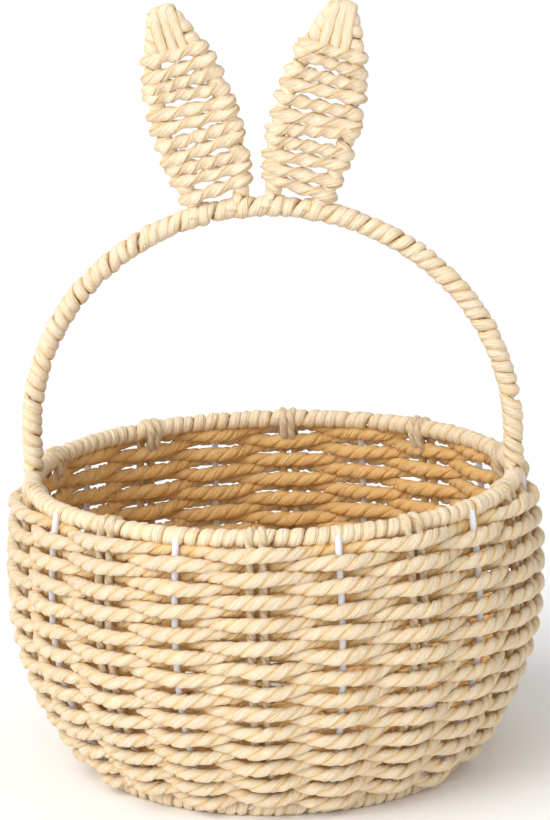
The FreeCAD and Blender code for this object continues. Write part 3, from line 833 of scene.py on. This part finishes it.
def ear_edge(side):
    """The ear's wire, from one foot over the tip to the other."""
    turn = math.atan2(EAR_LENGTH - EAR_BELLY, EAR_R - EAR_HALF)
    foot = math.asin((EAR_BELLY - 2 * MM) / EAR_R)
    rising = arc((EAR_R - EAR_HALF, EAR_BELLY), EAR_R, math.pi + foot, math.pi - turn, 50)
    tip = arc((0, EAR_LENGTH), EAR_TIP_R, math.pi - turn, turn, 16)
    line = np.vstack((rising, tip[1:-1], rising[::-1] * (-1, 1)))
    points = np.stack((line[:, 0], np.zeros(len(line)), line[:, 1]), 1)
    return ear_route(points, np.tile((0.0, -1.0, 0.0), (len(points), 1)), side)


def ear_half_width(up):
    return EAR_HALF - EAR_R + math.sqrt(EAR_R ** 2 - (up - EAR_BELLY) ** 2)


# %% Lace the ears
GRIP = 2.6 * MM
RUNG_PITCH = 6.2 * MM
FIRST_RUNG = 10 * MM
LAST_RUNG = 73 * MM
RUNG_SLANT = 1.1 * MM
RUNG_WOBBLE = 0.9
TIP_STRANDS = (-3.0, 0.4, 3.4)


def rung(name, side, up, rng):
    """A rung that grips the edge at both ends: round it, across in front, and round."""
    reach = ear_half_width(up)
    sweep = np.linspace(-math.pi * 1.6, -math.pi * 0.5, 18)
    left = np.stack((-reach + GRIP * np.cos(sweep), GRIP * np.sin(sweep)), 1)
    across = np.linspace(-reach, reach, 14)[1:-1]
    front = np.stack((across, np.full(12, -GRIP)), 1)
    line = np.vstack((left, front, left[::-1] * (-1, 1)))
    slant = rng.normal(0, RUNG_SLANT)
    points = np.stack((line[:, 0], line[:, 1], up + slant * line[:, 0] / reach), 1)
    outward = np.tile((0.0, -1.0, 0.0), (len(points), 1))
    round_wire = np.stack((np.cos(sweep), np.sin(sweep), np.zeros(18)), 1)
    outward[:18], outward[-18:] = round_wire, round_wire[::-1] * (-1, 1, 1)
    return lay_rope(name, ear_route(points, outward, side), rng, oval=(1.45, 3.1),
                    off_axis=0.75, lay=rng.uniform(16, 22), step=0.9)


def tip_strand(name, side, aside, rng):
    """A strand that closes the tip: up the front, over the wire and down the back."""
    up = np.array((-16, -10, -4, 1, 4.5, 6.4, 4.5, 1, -4, -10, -16)) * MM
    front = np.array((2.2, 2.9, 3.1, 3.3, 2.8, 0, -2.8, -3.3, -3.1, -2.9, -2.2)) * MM
    lean = np.linspace(1.5, 1, 6)[[0, 1, 2, 3, 4, 5, 4, 3, 2, 1, 0]]
    points = np.stack((aside * lean * MM, -front, EAR_LENGTH + up), 1)
    outward = points - (0, 0, EAR_LENGTH - 2 * MM)
    outward[:, 0] = 0
    return lay_rope(name, ear_route(points, outward, side), rng, plies=1,
                    oval=(1.3, 2.4), step=0.8)


def lace_ear(side, rng):
    """All the rungs of an ear and the strands over its tip."""
    heights = np.arange(FIRST_RUNG, LAST_RUNG, RUNG_PITCH)
    heights += rng.uniform(-RUNG_WOBBLE, RUNG_WOBBLE, len(heights)) * MM
    pieces = [rung(f"rung_{index}", side, up, rng) for index, up in enumerate(heights)]
    for aside in TIP_STRANDS:
        pieces.append(tip_strand("tip_strand", side, aside, rng))
    return pieces


# %% Bind the ears' feet to the handle
def foot_binding(side, foot_side, rng):
    """Two fat turns round the handle where a foot of an ear stands on it."""
    foot = np.array(ear_place(side)) @ (foot_side * ear_half_width(0), 0, 0, 1)
    middle = math.atan2(foot[2] - CROWN_Z, foot[0])
    reach = 3.8 * MM / CROWN_R
    line = arc((0, CROWN_Z), CROWN_R, middle + reach, middle - reach, 20)
    route = helix(upright_route(line), 1.6, 3.6 * MM, rng, uneven=0.05)
    return lay_rope("binding", route, rng, plies=1, oval=(1.6, 2.7), step=0.9)


for word, side, seed in (("left", -1, 21), ("right", 1, 22)):
    rng = np.random.default_rng(seed)
    edge = wind(f"ear_edge_{word}", ear_edge(side), EAR_OUTER, EAR_PITCH, rng)
    bindings = [foot_binding(side, foot_side, rng) for foot_side in (-1, 1)]
    settle(joined(f"ear_edge_{word}", [edge] + bindings), wound_paper, "wrap_rope",
           f"ear_wrap_{word}")
    laced = lace_ear(side, rng)
    settle(joined(f"ear_rungs_{word}", laced), woven_paper, "wrap_rope",
           f"ear_lacing_{word}")
    print(f"{word} ear laced with {len(laced)} ropes")
